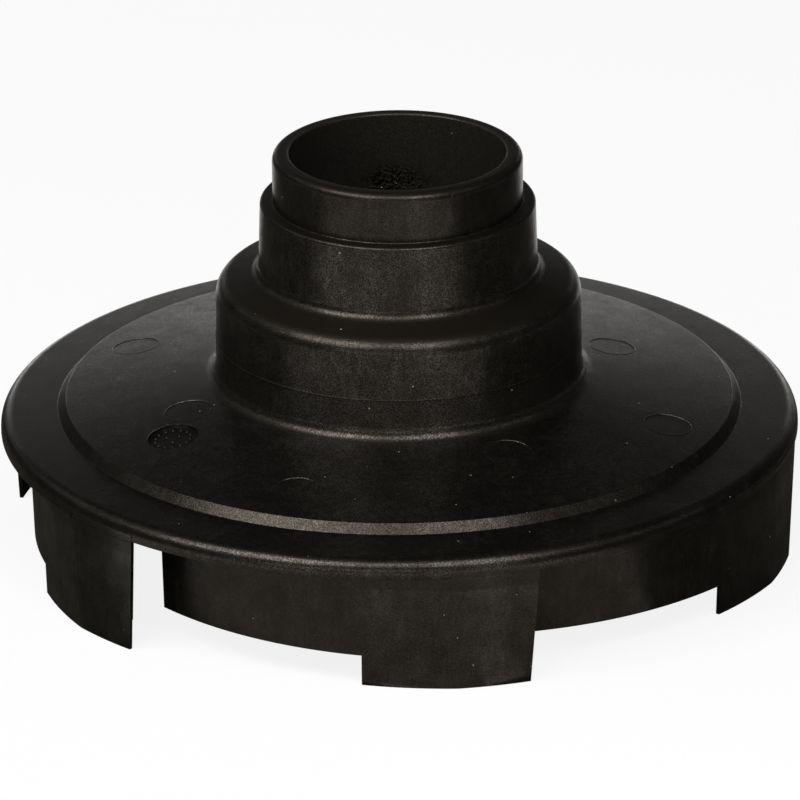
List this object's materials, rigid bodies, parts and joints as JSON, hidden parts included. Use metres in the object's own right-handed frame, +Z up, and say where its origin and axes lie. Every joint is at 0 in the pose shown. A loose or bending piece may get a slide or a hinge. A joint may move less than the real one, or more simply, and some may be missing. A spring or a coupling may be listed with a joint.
{
  "type": "pump diffuser",
  "caption": "Moulded pump diffuser: a stepped inlet snout on a shallow conical cover, with spiral vanes and standing arms under its rim.",
  "frame": {"origin": "on the snout's axis, at the plane of the arm tips that the part stands on", "axes": "+Z up the snout's axis towards the lip, -Y towards the viewer of the picture"},
  "size_m": [0.19, 0.19, 0.096],
  "materials": {
    "moulded_plastic": "satin black glass-filled moulding with flow marks",
    "ring_plastic": "smooth natural grey turned plastic"
  },
  "bodies": {
    "root": {"spigot": "moulded_plastic", "neck": "moulded_plastic", "shoulder": "moulded_plastic", "collar": "moulded_plastic", "cover": "moulded_plastic", "vane_1": "moulded_plastic", "vane_2": "moulded_plastic", "vane_3": "moulded_plastic", "vane_4": "moulded_plastic", "vane_5": "moulded_plastic", "vane_6": "moulded_plastic", "wear_ring": "ring_plastic"}
  },
  "joints": []
}
